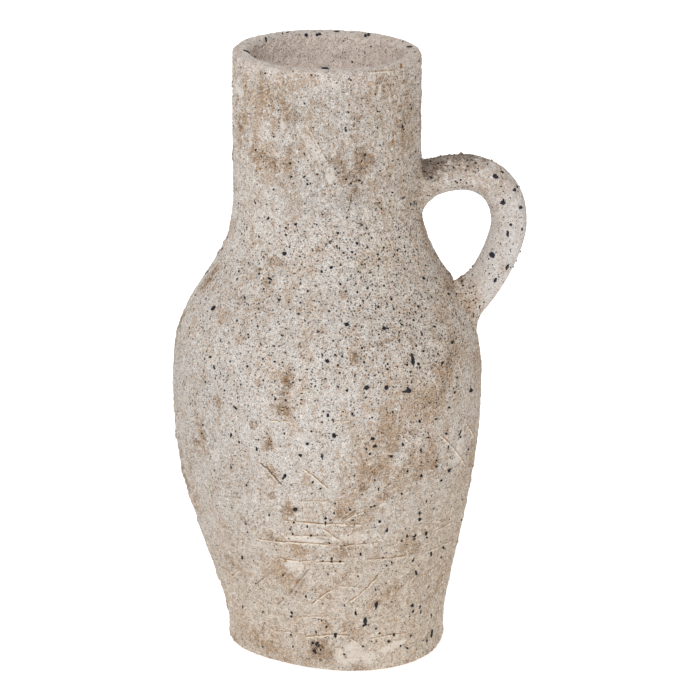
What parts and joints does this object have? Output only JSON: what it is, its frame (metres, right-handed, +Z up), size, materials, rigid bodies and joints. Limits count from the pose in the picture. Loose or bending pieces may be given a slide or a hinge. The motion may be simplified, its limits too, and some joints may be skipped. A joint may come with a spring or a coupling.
{
  "type": "one-handled jug vase",
  "caption": "Hand-built jug vase of coarse speckled stoneware: a full belly on a low foot, a straight open neck and a round looped handle from neck to shoulder.",
  "frame": {"origin": "middle of the foot's flat underside, on the table", "axes": "+Z up along the vessel, +X towards the handle, +Y away from the side that the picture shows"},
  "size_m": [0.179, 0.1566, 0.3107],
  "materials": {
    "coarse_stoneware": "matte, unglazed, sandy, with dark and ochre grit",
    "rim_stoneware": "matte, unglazed, wiped smooth",
    "handle_stoneware": "matte, unglazed, rolled smooth, with large dark flecks"
  },
  "bodies": {
    "root": {"base_slab": "coarse_stoneware", "lower_wall": "coarse_stoneware", "belly_wall": "coarse_stoneware", "shoulder_wall": "coarse_stoneware", "neck_wall": "coarse_stoneware", "rim_coil": "rim_stoneware", "handle": "handle_stoneware", "upper_handle_weld": "handle_stoneware", "lower_handle_weld": "handle_stoneware"}
  },
  "joints": []
}
